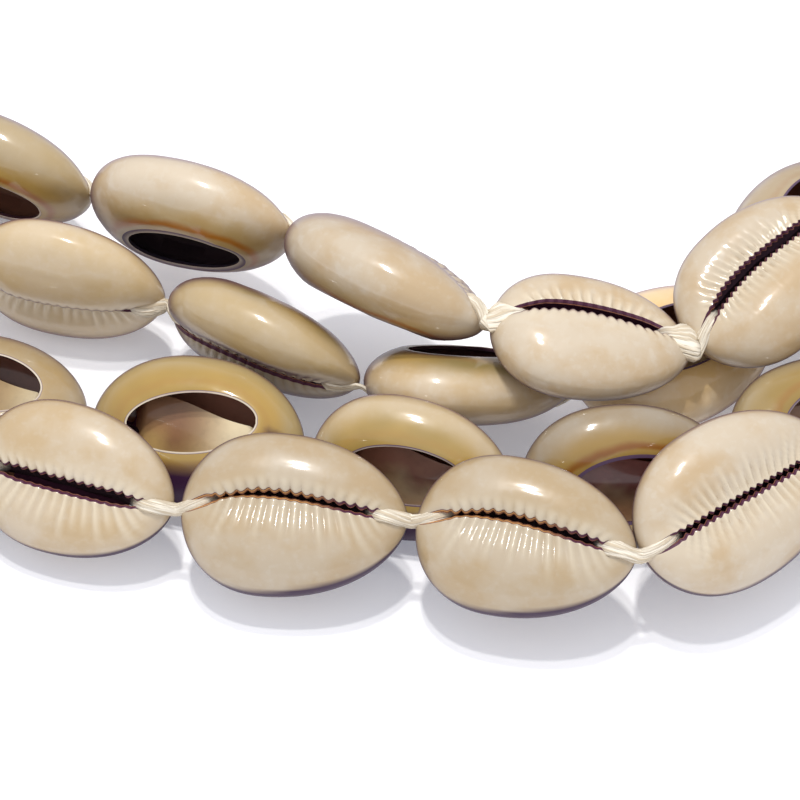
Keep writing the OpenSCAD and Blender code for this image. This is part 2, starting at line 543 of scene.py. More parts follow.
    def _height(self, x: np.ndarray, y: np.ndarray, high: float, look: ShellLook,
                share: tuple = (1, 1)) -> np.ndarray:
        """Height of an egg-shaped half over places in the plan.

        Args:
            x: Places along the shell.
            y: Places across it.
            high: Height of the half at its highest.
            look: What tells this shell from the next.
            share: Size of the half along and across, as shares of the whole shell.

        Returns:
            The height at each place.
        """
        along = x / (self.length / 2 * share[0])
        half = np.maximum(self.width / 2 * share[1] * self.outline(along, look), 1e-6)
        across = np.clip(np.abs(y) / half, 0, 1)
        return high * self.swell(along, look) * (1 - across**2) ** self.across_round

    def _ring(self, around: int, look: ShellLook) -> Ring:
        """Sets out the columns of a shell, along its +y side and back along the other.

        Args:
            around: Number of columns.
            look: What tells this shell from the next.

        Returns:
            What all rows of the shell share.
        """
        half = around // 2
        even = (np.arange(half) + 0.5) / half * 2 - 1
        way = (1 - self.crowding) * even - self.crowding * np.cos(np.pi * (even + 1) / 2)
        along = np.concatenate([way, way[::-1]])
        side = np.concatenate([np.ones(half), -np.ones(half)])
        rim = np.stack([along * self.length / 2, side * self.width / 2 * self.outline(along, look)])
        # the slit bends, and both of its ends are as wide as the thread
        xs = along * self.slit_reach
        closing = np.sqrt(np.clip(1 - np.abs(along) ** 14, 0, 1))
        open_half = look.slit_half + (self.slit_end - look.slit_half) * ramp(np.abs(xs), *self.end_zone)
        open_half = open_half * (1 - look.narrow * ramp(xs, *self.narrow_from) * ramp(xs, *self.narrow_to))
        slit = np.stack([xs * self.length / 2, self.slit_line(along, look) + side * open_half * closing])
        ribbed = (side == look.ribs) | (look.ribs == 0)
        toothed = ramp(np.abs(xs - self.tooth_shift), *self.tooth_zone)
        return Ring(along, side, rim, self.swell(along, look), slit, xs, open_half, closing, ribbed, toothed,
                    np.zeros_like(along))

    def _base(self, ring: Ring, look: ShellLook, skip: int) -> list[Row]:
        """Rows over the base, from the toothed edge of the slit out to the rim.

        Args:
            ring: What all rows share.
            look: What tells this shell from the next.
            skip: Which rows are kept.

        Returns:
            The rows.
        """
        lips = zip(self.ribbed_lip, self.smooth_lip)
        deep, reach, power, rib_share = (np.where(ring.ribbed, a, b) for a, b in lips)
        relief = self.rib * rib_share
        tooth_share = self.facing_tooth if look.ribs == 0 else self.ribbed_tooth
        tooth_in = np.where(ring.ribbed, tooth_share, 1.0) * self.tooth
        tooth_in = np.minimum(tooth_in, self.tooth_limit * look.slit_half)
        # the purple underside, partly painted shade under the shell
        purple = look.purple * (ring.side == look.purple_side)
        purple_from = look.purple_from + self.purple_later * (1 - ramp(ring.along, *self.purple_zone))
        rows = []
        for s in self.base_rows[::skip]:
            p = ring.slit + (ring.rim - ring.slit) * s
            gap = np.hypot(*(p - ring.slit))
            # the ribs fan out, and each is a little longer or shorter than the next
            pitch = look.teeth * (ring.slit_along / (1 + self.rib_fan * s) + self.rib_origin) / self.rib_span
            rib, point = 0.5 - 0.5 * np.cos(2 * np.pi * pitch), np.abs(np.sin(np.pi * pitch)) ** 0.9
            tooth = np.where(ring.ribbed, rib, point) * ring.toothed
            vary = 0.5 + 0.5 * np.sin(np.floor(pitch) * self.rib_vary + look.seed)
            rib_end = np.where(ring.ribbed, look.rib_reach * (0.75 + 0.45 * vary), self.smooth_rib_reach)
            fade = np.exp(-((gap / rib_end) ** 4)) * (0.7 + 0.3 * vary)
            p = p - np.stack([ring.flat, ring.side * tooth_in * tooth * np.exp(-gap / self.tooth_fade)])
            z = -self._height(p[0], p[1], self.base_h, look) * (1 if s < 1 else 0)
            z = z + deep * ring.swell * np.exp(-((gap / reach) ** power))
            z = z - relief * (tooth - 0.5 * ring.toothed) * fade * ramp(gap, *self.rib_start) * ring.swell
            stain = purple * ramp(s, purple_from, purple_from + self.purple_soft)
            rows.append(Row(np.stack([*p, z], 1), Across.SLIT.value + s, Skin.OUTSIDE, tooth * fade, stain))
        return rows

    def _sides(self, ring: Ring, look: ShellLook, skip: int) -> list[Row]:
        """Rows from the rim up to the cut, and the edge of the opening.

        Args:
            ring: What all rows share.
            look: What tells this shell from the next.
            skip: Which rows are kept.

        Returns:
            The rows. The last two are the cut and the edge inside it.
        """
        half = np.array([self.mouth_l / 2 * look.mouth[0], self.mouth_w / 2 * look.mouth[1]])
        shift = np.array([[0.0], [look.mouth_shift]])
        round_it = np.sqrt(np.clip(1 - ring.along**2, 0, 1))
        oval = np.stack([ring.along * half[0], ring.side * half[1] * round_it])
        turn = rotation("Z", look.mouth_turn)[:2, :2]
        mouth = turn @ oval + shift
        # the purple band carries on up the side, partly as painted shade
        purple, end = look.purple * (ring.side == look.purple_side), look.purple_end - 1
        rows = []
        for s in self.side_rows[::-skip][::-1]:
            p = ring.rim + (mouth - ring.rim) * s
            z = np.minimum(self._height(p[0], p[1], self.dome, look), self.cut_h)
            stain = purple * ramp(s, end, end - self.purple_end_soft)
            rows.append(Row(np.stack([*p, z], 1), Across.WIDEST.value + s, Skin.OUTSIDE, ring.flat, stain))
        lip = turn @ (oval * (1 - look.edge / half)[:, None]) + shift
        points = np.stack([*lip, rows[-1].points[:, 2] - self.edge_drop], 1)
        rows.append(Row(points, Across.EDGE.value, Skin.EDGE, ring.flat, ring.flat + look.rim))
        return rows

    def _hollow(self, ring: Ring, look: ShellLook, skip: int, cut: Row, edge: Row) -> list[Row]:
        """Rows inside, from under the edge of the opening out along the hollow.

        Args:
            ring: What all rows share.
            look: What tells this shell from the next.
            skip: Which rows are kept.
            cut: The row at the cut.
            edge: The row at the edge of the opening.

        Returns:
            The rows.
        """
        far = ring.rim * np.array(self.inner_share)[:, None]
        lip, roof = edge.points[:, :2].T, cut.points[:, 2] - self.edge_wall
        rows = []
        for s in self.hollow_rows[::skip]:
            p = far + (lip - far) * s
            z = np.minimum(self._height(p[0], p[1], self.dome, look, self.inner_share), roof)
            across = Across.HOLLOW.value + 0.4 * (1 - s)
            # the inside's stain is how lit it is painted
            rows.append(Row(np.stack([*p, z], 1), across, Skin.INSIDE, ring.flat, ring.flat + look.inside))
        return rows

    def _floor(self, ring: Ring, look: ShellLook, skip: int) -> list[Row]:
        """Rows in along the floor, which rolls up over the slit on one side as the shell's own whorl does.

        Args:
            ring: What all rows share.
            look: What tells this shell from the next.
            skip: Which rows are kept.

        Returns:
            The rows. The last runs beside the slit.
        """
        far = ring.rim * np.array(self.inner_share)[:, None]
        aside = ring.slit[1] + ring.side * self.under_out * ring.closing
        under = np.stack([ring.slit[0] * self.under_share, aside])
        over = np.where(ring.side < 0, ramp(np.abs(ring.along), *self.whorl_zone), 0)
        over = over * over * (3 - 2 * over)
        crest = self.crest_side - np.tanh(self.crest_turn * (ring.along - self.crest_at))
        brink = np.stack([under[0], under[1] * (1 - over) + crest * over])
        # how lit the inside is painted, as painted shade or painted light
        light = ring.flat + look.inside
        rows = []
        for s in self.floor_rows[::skip]:
            p = brink + (far - brink) * s
            z = -self._height(p[0], p[1], self.inner_base, look, self.inner_share)
            rise = over * ramp(s, *self.whorl_rise) ** 0.8
            z = z * (1 - rise) + (self.whorl_top - self.whorl_dip * s) * rise
            across = Across.FLOOR.value + 0.25 * (1 - s)
            rows.append(Row(np.stack([*p, z], 1), across, Skin.INSIDE, over, light))
        low = rows[-1].points[:, 2] * (1 - over) - self.inner_base * self.under_low * ring.swell * over
        back = under - np.stack([ring.flat, self.under_in * over])
        for s, z in self.under_rows:
            p = brink + (back - brink) * s
            points = np.stack([*p, low * (1 - over) + z * over], 1)
            rows.append(Row(points, Across.BRINK.value, Skin.INSIDE, over, light))
        rows.append(Row(np.stack([*under, low], 1), Across.UNDER.value, Skin.INSIDE, ring.flat, light))
        return rows

    def _wall(self, ring: Ring, look: ShellLook, ledge: np.ndarray) -> Row:
        """The row at the bottom of the slit's slanting wall.

        Args:
            ring: What all rows share.
            look: What tells this shell from the next.
            ledge: Points of the slit's edge.

        Returns:
            The row.
        """
        inwards = ring.side * np.minimum(self.wall_in, 0.5 * ring.open_half) * ring.closing
        wall = np.stack([ledge[:, 0], ledge[:, 1] - inwards, ledge[:, 2] + self.wall_deep * ring.swell], 1)
        return Row(wall, Across.WALL.value, Skin.INSIDE, ring.flat, ring.flat + look.inside)

    def build(self, detail: Detail, look: ShellLook) -> ShellMesh:
        """Makes one shell as rows round it: over the outside to the cut, and inside back to the slit.

        Args:
            detail: How finely it is made.
            look: What tells this shell from the next.

        Returns:
            The shell's mesh, in its own frame.
        """
        around, skip = detail.value
        ring = self._ring(around, look)
        rows = [*self._base(ring, look, skip), *self._sides(ring, look, skip)]
        rows += self._hollow(ring, look, skip, *rows[-2:])
        rows += self._floor(ring, look, skip)
        rows.append(self._wall(ring, look, rows[0].points))

        # the last quads close the wall of the slit, which has the finish of the inside
        quads = grid_quads(len(rows), around, True)
        skins = [row.skin.value for row in rows[1:]] + [Skin.INSIDE.value]
        points = np.concatenate([row.points for row in rows])
        form = np.concatenate([np.stack([ring.flat + row.across, ring.along, row.relief], 1) for row in rows])
        stain = np.concatenate([row.stain for row in rows])
        tint = np.tile([look.tone, look.warm, look.gold], (len(points), 1))
        mark = np.stack([np.full(len(points), look.line), np.full(len(points), look.olive), stain], 1)
        place = points + np.array([look.seed * 37.0, look.seed * 11.0, 0])
        return ShellMesh(points, quads, np.repeat(skins, around), form, tint, mark, place)


# Looks of the shells in the middle of the front, by strand and by place in its front stretch
FRONT_LOOKS = {
    StrandName.INNER: {
        0: ShellLook(tone=0.97, warm=0.35, gold=0.9, line=1.0, olive=0.2, inside=0.6, seed=1.1),
        # its inside is painted dark as shade
        1: ShellLook(tone=1.2, warm=1.15, gold=0.6, line=1.0, olive=0.6, mouth_shift=-0.9, rim=0.35,
                     inside=0.1, edge=0.6, seed=2.3),
        2: ShellLook(tone=1.08, warm=1.1, gold=0.4, line=1.0, olive=0.5, knots=(1.0, 1.7), seed=3.4),
        3: ShellLook(slit_half=0.95, tone=1.16, warm=1.15, gold=0.5, widest=-0.2, bend=-1.3, rib_reach=1.3,
                     knots=(2.1, 2.3), seed=4.9),
        4: ShellLook(slit_half=0.75, teeth=23, tone=1.1, warm=1.0, gold=0.5, bend=-1.2, ribs=0,
                     rib_reach=1.3, seed=5.2),
    },
    StrandName.SECOND: {
        1: ShellLook(slit_half=0.13, rib_reach=1.5, tone=1.26, warm=0.6, gold=0.6, ribs=1, inside=2.0,
                     seed=6.6),
        # its purple lower band is painted shade
        2: ShellLook(slit_half=0.3, bend=-1.6, rib_reach=1.1, tone=1.06, warm=0.45, gold=1.0, line=0.0,
                     olive=1.0, purple=0.35, purple_from=-0.06, knots=(1.0, 0.5), seed=7.8),
        3: ShellLook(rib_reach=1.1, tone=1.22, warm=0.8, gold=0.9, line=0.2, olive=0.9, inside=0.4,
                     knots=(0.5, 1.0), seed=8.3),
        # its bright tone is painted light where the shells above shade it
        4: ShellLook(tone=1.8, warm=0.9, gold=0.4, line=0.0, olive=0.1, rim=0.0, seed=9.7),
        5: ShellLook(tone=0.95, warm=1.0, gold=0.35, line=0.2, rim=0.0, inside=0.8, seed=1.9),
    },
    StrandName.THIRD: {
        1: ShellLook(tone=0.9, warm=0.9, gold=0.4, line=0.0, inside=0.7, seed=2.7),
        # the purple band on its -y side, and on the next two shells, is painted shade between the rows
        2: ShellLook(tone=0.97, warm=0.0, gold=1.0, line=0.15, olive=0.35, widest=0.0, mouth=(1.0, 0.84),
                     mouth_shift=0.5, mouth_turn=10.0, bend=-0.6, purple=1.0, purple_side=-1,
                     purple_end=1.8, inside=1.0, seed=3.9),
        3: ShellLook(tone=1.14, warm=0.5, gold=0.9, line=0.1, olive=0.6, mouth=(1.0, 0.85),
                     mouth_shift=0.3, bend=-0.6, rim=0.35, inside=1.3, purple=1.0, purple_side=-1,
                     purple_end=1.9, seed=4.1),
        # its dark tone is painted shade from the shell above, and its whorl is painted cream as light
        4: ShellLook(tone=0.66, warm=0.9, gold=0.9, line=1.0, olive=0.0, bend=-0.6, rim=0.0, inside=1.7,
                     edge=0.35, purple=0.6, purple_side=-1, purple_end=1.9, seed=5.8),
        5: ShellLook(tone=0.85, warm=0.2, gold=1.0, line=0.4, bend=-0.6, rim=0.2, seed=6.2),
    },
    StrandName.OUTER: {
        2: ShellLook(slit_half=0.9, tone=1.11, warm=0.85, ribs=1, bend=0.1, purple=1.0, purple_from=0.9,
                     seed=7.1),
        3: ShellLook(slit_half=0.54, narrow=0.4, tone=0.95, warm=0.9, ribs=1, widest=-0.2, bend=-1.6,
                     purple=1.0, purple_from=0.9, inside=5.0, seed=8.8),
        4: ShellLook(slit_half=0.58, narrow=0.3, tone=0.95, warm=0.85, ribs=1, widest=-0.2, bend=-1.5,
                     purple=1.0, purple_from=0.9, inside=5.0, seed=9.2),
        5: ShellLook(slit_half=0.52, teeth=22, rib_reach=2.0, tone=1.12, warm=1.1, ribs=0, widest=-0.1,
                     bend=-0.3, purple=1.0, purple_from=0.9, seed=0.7),
    },
}


# The finishes


class Graph:
    """Shorthand for making and joining the nodes of one tree."""

    def __init__(self, tree: bpy.types.NodeTree) -> None:
        """Starts with an empty tree."""
        self.tree = tree
        tree.nodes.clear()

    def node(self, kind: str, inputs: dict | None = None, **settings: object) -> bpy.types.Node:
        """Adds a node.

        Args:
            kind: The node's type.
            inputs: By the socket's name or number, a plain value or the output that feeds it.
            settings: Properties of the node, which are set before its inputs.

        Returns:
            The new node.
        """
        node = self.tree.nodes.new(kind)
        for name, value in settings.items():
            setattr(node, name, value)
        for name, value in (inputs or {}).items():
            if isinstance(value, Socket):
                self.tree.links.new(value, node.inputs[name])
            elif isinstance(value, tuple) and len(value) == 3:
                node.inputs[name].default_value = (*value, 1)
            else:
                node.inputs[name].default_value = value
        return node

    def math(self, operation: str, *values: Socket | float, clamp: bool = False) -> Socket:
        """The result of a Math node."""
        inputs = dict(enumerate(values))
        return self.node("ShaderNodeMath", inputs, operation=operation, use_clamp=clamp).outputs[0]

    def times(self, *values: Socket | float) -> Socket:
        """Multiplies numbers.

        Args:
            values: Two or more numbers.

        Returns:
            Their product.
        """
        product = values[0]
        for value in values[1:]:
            product = self.math("MULTIPLY", product, value)
        return product

    def mix(self, share: Socket | float, a: Socket | Colour, b: Socket | Colour) -> Socket:
        """A blend of two colours."""
        return self.node("ShaderNodeMix", {0: share, 6: a, 7: b}, data_type="RGBA").outputs[2]

    def scale(self, colour: Socket, factor: Socket | float) -> Socket:
        """A colour times a number."""
        return self.node("ShaderNodeVectorMath", {0: colour, "Scale": factor}, operation="SCALE").outputs[0]

    def step(self, value: Socket, low: float, high: float) -> Socket:
        """A smooth step from 0 at low to 1 at high. It falls where low is the larger."""
        return self.node("ShaderNodeMapRange", {"Value": value, "From Min": low, "From Max": high},
                         interpolation_type="SMOOTHSTEP").outputs[0]

    def noise(self, place: Socket, size: float, detail: float = 3) -> Socket:
        """Soft noise from 0 to 1 over a place."""
        return self.node("ShaderNodeTexNoise", {"Vector": place, "Scale": size, "Detail": detail}).outputs[0]

    def facing(self) -> Socket:
        """0 where the surface faces the viewer, and 1 where it turns away."""
        return self.node("ShaderNodeLayerWeight", {"Blend": 0.5}).outputs["Facing"]

    def vector(self, name: str) -> Socket:
        """An attribute of the mesh as a vector."""
        return self.node("ShaderNodeAttribute", attribute_name=name).outputs["Vector"]

    def values(self, name: str) -> list[Socket]:
        """The three numbers of an attribute of the mesh."""
        return list(self.node("ShaderNodeSeparateXYZ", {0: self.vector(name)}).outputs)

    def grained(self, grain: bpy.types.NodeTree, colour: Socket | Colour, shade: Socket | Colour,
                more: dict | None = None) -> bpy.types.Node:
        """Breaks up a colour with a shared grain.

        Args:
            grain: The node group.
            colour: The colour.
            shade: What it is blended with.
            more: The group's other inputs.

        Returns:
            The node, which puts out a colour and a height.
        """
        inputs = {"Colour": colour, "Shade": shade, "Place": self.vector("place"), **(more or {})}
        return self.node("ShaderNodeGroup", inputs, node_tree=grain)


def make_group(name: str, inputs: dict, outputs: dict) -> tuple[Graph, bpy.types.Node, bpy.types.Node]:
    """A new shader node group with named sockets.

    Args:
        name: The group's name.
        inputs: Socket type by name.
        outputs: Socket type by name.

    Returns:
        The graph of the group, and its input and output nodes.
    """
    tree = bpy.data.node_groups.new(name, "ShaderNodeTree")
    for way, sockets in (("INPUT", inputs), ("OUTPUT", outputs)):
        for socket, kind in sockets.items():
            tree.interface.new_socket(socket, in_out=way, socket_type=kind)
    graph = Graph(tree)
    return graph, graph.node("NodeGroupInput"), graph.node("NodeGroupOutput")


def shell_grain() -> bpy.types.NodeTree:
    """The cloudy tone and fine unevenness that every part of a shell has.

    Returns:
        A group that blends a colour with its shade, and gives a height.
    """
    colour, number = "NodeSocketColor", "NodeSocketFloat"
    g, start, end = make_group(
        "shell_grain", {"Colour": colour, "Shade": colour, "Place": "NodeSocketVector", "Strength": number},
        {"Colour": colour, "Height": number})
    place, strength = start.outputs["Place"], start.outputs["Strength"]
    cloud = g.step(g.noise(place, 0.2, 4), 0.36, 0.64)
    speck = g.step(g.noise(place, 1.3, 2), 0.5, 0.72)
    share = g.math("MULTIPLY", g.math("MULTIPLY_ADD", speck, 0.3, cloud), strength, clamp=True)
    height = g.math("MULTIPLY_ADD", g.noise(place, 0.75, 1), 0.3, g.noise(place, 0.3, 1))
    g.tree.links.new(g.mix(share, start.outputs["Colour"], start.outputs["Shade"]), end.inputs["Colour"])
    g.tree.links.new(height, end.inputs["Height"])
    return g.tree


def fibre_grain() -> bpy.types.NodeTree:
    """Fine strands along a thread, for the threads and for the tie.

    Returns:
        A group that blends a colour with its shade, and gives a height.
    """
    colour = "NodeSocketColor"
    g, start, end = make_group(
        "fibre_grain", {"Colour": colour, "Shade": colour, "Place": "NodeSocketVector"},
        {"Colour": colour, "Height": "NodeSocketFloat"})
    strand = g.step(g.noise(start.outputs["Place"], 1.0, 3), 0.38, 0.62)
    g.tree.links.new(g.mix(strand, start.outputs["Shade"], start.outputs["Colour"]), end.inputs["Colour"])
    g.tree.links.new(strand, end.inputs["Height"])
    return g.tree


def new_material(name: str) -> tuple[bpy.types.Material, Graph]:
    """A new material.

    Args:
        name: Its name.

    Returns:
        The material and its empty graph.
    """
    material = bpy.data.materials.new(name)
    material.use_nodes = True
    return material, Graph(material.node_tree)


def finish_material(g: Graph, colour: Socket | Colour, inputs: dict, height: Socket | None = None,
                    bump: float = 0.0) -> None:
    """Ends a material in one Principled shader.

    Args:
        g: The material's graph.
        colour: Its colour.
        inputs: The shader's other inputs.
        height: What a bump reads, or nothing.
        bump: Strength of the bump.
    """
    inputs = {"Base Color": colour, **inputs}
    if height is not None:
        relief = g.node("ShaderNodeBump", {"Height": height, "Strength": bump, "Distance": BUMP_DEPTH})
        inputs["Normal"] = relief.outputs[0]
    shader = g.node("ShaderNodeBsdfPrincipled", inputs)
    g.node("ShaderNodeOutputMaterial", {"Surface": shader.outputs[0]})


@dataclass(frozen=True)
class OutsideFinish:
    """The glossy outside: cream round the slit, golden or olive by the cut, with painted shade towards the
    outlines.

    A zone gives where a colour starts and where it is full, across the shell or as the surface turns away.
    """

    peach: Colour = (0.42, 0.305, 0.175)
    sand: Colour = (0.40, 0.30, 0.14)
    pale: Colour = (0.48, 0.405, 0.305)
    rib: Colour = (0.58, 0.50, 0.37)
    olive: Colour = (0.19, 0.14, 0.04)
    gold: Colour = (0.46, 0.28, 0.055)
    orange: Colour = (0.33, 0.12, 0.012)
    # painted shade where the surface turns away from the viewer
    shade: Colour = (0.20, 0.13, 0.07)
    purple: Colour = (0.035, 0.011, 0.038)
    # painted shade along the outlines, where the surface turns away
    painted_outline_shade: Colour = (0.10, 0.045, 0.07)
    mottling: float = 0.8
    slit_zone: tuple = (0.4, 0.05)
    slit_share: float = 0.3
    rib_share: float = 0.75
    gold_zone: tuple = (1.05, 1.6)
    stripe_start: tuple = (1.6, 1.78)
    stripe_end: tuple = (1.92, 1.8)
    painted_shade_zone: tuple = (0.25, 1.0)
    shade_share: float = 0.5
    painted_outline_zone: tuple = (0.56, 0.92)
    painted_outline_share: float = 0.85
    gloss_zone: tuple = (0.85, 0.35)
    roughness: float = 0.34
    specular: float = 0.22
    coat_roughness: float = 0.1
    bump: float = 0.3

    def make(self, grain: bpy.types.NodeTree) -> bpy.types.Material:
        """Builds the material.

        Args:
            grain: The grain that the shell's finishes share.

        Returns:
            The material.
        """
        material, g = new_material("cowrie_outside")
        across, _, ribbed = g.values("form")
        tone, warm, gold = g.values("tint")
        line, olive, purple = g.values("mark")
        place = g.vector("place")
        near_cut = g.math("ADD", across, g.math("MULTIPLY_ADD", g.noise(place, 0.22, 3), 0.3, -0.15))
        mottled = g.grained(grain, g.mix(warm, self.sand, self.peach), self.pale,
                            {"Strength": g.times(warm, self.mottling)})
        colour = mottled.outputs["Colour"]
        colour = g.mix(g.times(g.step(near_cut, *self.slit_zone), self.slit_share), colour, self.rib)
        colour = g.mix(g.times(ribbed, self.rib_share), colour, self.rib)
        patches = g.math("MULTIPLY_ADD", g.noise(place, 0.14, 2), 2.0, -0.1)
        golden = g.mix(g.math("MULTIPLY", olive, patches, clamp=True), self.gold, self.olive)
        colour = g.mix(g.times(g.step(near_cut, *self.gold_zone), gold), colour, golden)
        stripe = g.times(g.step(near_cut, *self.stripe_start), g.step(near_cut, *self.stripe_end), line)
        colour = g.mix(stripe, colour, self.orange)
        facing = g.facing()
        # painted shade: the colour darkens where the surface turns away from the viewer
        colour = g.mix(g.times(g.step(facing, *self.painted_shade_zone), self.shade_share), colour, self.shade)
        # painted shade along the outlines
        colour = g.mix(g.times(g.step(facing, *self.painted_outline_zone), self.painted_outline_share), colour, self.painted_outline_shade)
        # the purple underside, partly painted shade, and the shell's tone, which on a few shells is set as
        # painted light or shade
        colour = g.mix(purple, g.scale(colour, tone), self.purple)
        gloss = g.times(g.step(facing, *self.gloss_zone), g.math("SUBTRACT", 1.0, purple))
        finish_material(g, colour, {"Roughness": self.roughness, "Specular IOR Level": self.specular,
                                    "Coat Weight": gloss, "Coat Roughness": self.coat_roughness},
                        mottled.outputs["Height"], self.bump)
        return material


@dataclass(frozen=True)
class EdgeFinish:
    """The broken edge round the opening, pale or purple."""

    colour: Colour = (0.60, 0.52, 0.40)
    shade: Colour = (0.34, 0.25, 0.22)
    purple: Colour = (0.08, 0.04, 0.09)
    mottling: float = 0.6
    pale_zone: tuple = (0.0, 0.5)
    roughness: float = 0.55
    bump: float = 0.3

    def make(self, grain: bpy.types.NodeTree) -> bpy.types.Material:
        """Builds the material.

        Args:
            grain: The grain that the shell's finishes share.

        Returns:
            The material.
        """
        material, g = new_material("cowrie_cut_edge")
        mottled = g.grained(grain, self.colour, self.shade, {"Strength": self.mottling})
        # the cut's row and the edge's share these quads, so the mark rises from 0 to the rim's paleness
        pale = g.step(g.values("mark")[2], *self.pale_zone)
        colour = g.mix(pale, self.purple, mottled.outputs["Colour"])
        finish_material(g, colour, {"Roughness": self.roughness}, mottled.outputs["Height"], self.bump)
        return material


@dataclass(frozen=True)
class InsideFinish:
    """The inside: purple under the edge, then brown, and olive and cream on the rolled floor. Where it is
    painted dim it turns to a painted shade of navy, and where it is painted bright the whorl turns cream as
    painted light.

    A zone gives where a colour starts and where it is full: across the shell, along it, or by the light
    painted on it.
    """

    purple: Colour = (0.07, 0.018, 0.035)
    brown: Colour = (0.36, 0.14, 0.08)
    olive: Colour = (0.60, 0.40, 0.15)
    cream: Colour = (0.88, 0.74, 0.48)
    crest: Colour = (0.22, 0.07, 0.06)
    # painted shade on the slit's walls
    slit: Colour = (0.09, 0.028, 0.055)
    ochre: Colour = (0.50, 0.26, 0.09)
    painted_shade_navy: Colour = (0.02, 0.022, 0.036)
    mottling: float = 0.6
    shade_share: float = 0.65
    brown_zone: tuple = (2.2, 2.55)
    cream_zone: tuple = (0.8, 1.45)
    crest_zone: tuple = (2.66, 2.8)
    crest_along: tuple = (0.5, -0.25)
    crest_light: tuple = (1.05, 1.25)
    whorl_zone: tuple = (2.5, 2.66)
    wall_zone: tuple = (2.86, 2.89)
    wall_end: tuple = (2.05, 1.9)
    ochre_along: tuple = (0.5, 0.1)
    ochre_light: tuple = (1.0, 1.3)
    gloss: float = 0.6
    roughness: float = 0.4
    specular: float = 0.2
    coat_roughness: float = 0.1
    bump: float = 0.2

    def make(self, grain: bpy.types.NodeTree) -> bpy.types.Material:
        """Builds the material.

        Args:
            grain: The grain that the shell's finishes share.

        Returns:
            The material.
        """
        material, g = new_material("cowrie_inside")
        across, along, rolled = g.values("form")
        # how lit the inside is painted: below 1 it darkens to painted shade, above 1 the whorl turns cream as
        # painted light
        light = g.values("mark")[2]
        place = g.vector("place")
        deep = g.math("ADD", across, g.math("MULTIPLY_ADD", g.noise(place, 0.3, 2), 0.14, -0.07))
        colour = g.mix(g.step(deep, *self.brown_zone), self.purple, self.brown)
        whorl = g.mix(g.step(g.math("ADD", along, light), *self.cream_zone), self.olive, self.cream)
        dark_end = g.math("MAXIMUM", g.step(along, *self.crest_along), g.step(light, *self.crest_light))
        crest = g.times(g.step(deep, *self.crest_zone), dark_end, g.math("MULTIPLY_ADD", light, 0.6, 0.1))
        whorl = g.mix(crest, whorl, self.crest)
        on_whorl = g.math("MULTIPLY", g.step(deep, *self.whorl_zone), rolled, clamp=True)
        colour = g.mix(on_whorl, colour, whorl)
        mottled = g.grained(grain, colour, g.scale(colour, self.shade_share), {"Strength": self.mottling})
        # the slit's walls are painted dark as shade, some with an ochre stain
        in_slit = g.math("ADD", g.step(across, *self.wall_zone), g.step(across, *self.wall_end), clamp=True)
        stained = g.times(g.step(along, *self.ochre_along), g.step(light, *self.ochre_light))
        colour = g.mix(in_slit, g.mix(light, self.painted_shade_navy, mottled.outputs["Colour"]),
                       g.mix(stained, self.slit, self.ochre))
        gloss = g.times(g.math("SUBTRACT", 1.0, in_slit), self.gloss)
        finish_material(g, colour, {"Roughness": self.roughness, "Specular IOR Level": self.specular,
                                    "Coat Weight": gloss, "Coat Roughness": self.coat_roughness},
                        mottled.outputs["Height"], self.bump)
        return material


@dataclass(frozen=True)
class ThreadFinish:
    """Off-white plant fibre, with painted shade where it runs inside a shell."""

    colour: Colour = (0.86, 0.79, 0.66)
    shade: Colour = (0.60, 0.50, 0.36)
    # painted shade where the thread runs inside a shell
    dark: Colour = (0.035, 0.016, 0.022)
    roughness: float = 0.7
    specular: float = 0.2
    bump: float = 0.5

    def make(self, grain: bpy.types.NodeTree) -> bpy.types.Material:
        """Builds the material.

        Args:
            grain: The fibre's grain.

        Returns:
            The material.
        """
        material, g = new_material("thread_fibre")
        fibre = g.grained(grain, self.colour, self.shade)
        colour = g.mix(g.values("form")[0], fibre.outputs["Colour"], self.dark)
        finish_material(g, colour, {"Roughness": self.roughness, "Specular IOR Level": self.specular},
                        fibre.outputs["Height"], self.bump)
        return material


@dataclass(frozen=True)
class FloorFinish:
    """A plain white surface that glows a little, so that the shadows on it stay light."""

    colour: Colour = (0.84, 0.84, 0.85)
    glow: Colour = (0.78, 0.83, 1.0)
    strength: float = 0.22
    roughness: float = 0.9

    def make(self) -> bpy.types.Material:
        """Builds the material.

        Returns:
            The material.
        """
        material, g = new_material("floor_white")
        finish_material(g, self.colour, {"Roughness": self.roughness, "Emission Color": self.glow,
                                         "Emission Strength": self.strength})
        return material


# The pieces


def make_object(name: str, points: np.ndarray, quads: np.ndarray,
                attributes: dict[str, np.ndarray]) -> bpy.types.Object:
    """A mesh object in metres, with smooth faces and vector attributes.

    Args:
        name: Name of the object.
        points: Points in millimetres, in the part's frame.
        quads: Point numbers of each face.
        attributes: Three numbers for each point, by name.

    Returns:
        The object, linked to the scene.
    """
    mesh = bpy.data.meshes.new(name)
    mesh.from_pydata((points * MM).tolist(), [], quads.tolist())
    mesh.polygons.foreach_set("use_smooth", np.ones(len(quads), bool))
    for label, values in attributes.items():
        layer = mesh.attributes.new(label, "FLOAT_VECTOR", "POINT")
        layer.data.foreach_set("vector", values.astype(np.float32).ravel())
    mesh.update()
    piece = bpy.data.objects.new(name, mesh)
    bpy.context.scene.collection.objects.link(piece)
    return piece


def grid_quads(rows: int, columns: int, closed: bool) -> np.ndarray:
    """Faces between the points of a tube that is made ring by ring.

    Args:
        rows: Number of rings.
        columns: Number of points in a ring.
        closed: Whether the last ring joins the first.

    Returns:
        Point numbers of each face.
    """
    row, column = np.meshgrid(np.arange(rows if closed else rows - 1), np.arange(columns), indexing="ij")
    row_next, next_column = (row + 1) % rows, (column + 1) % columns
    corners = ((row, column), (row_next, column), (row_next, next_column), (row, next_column))
    return np.stack([a * columns + b for a, b in corners], -1).reshape(-1, 4)


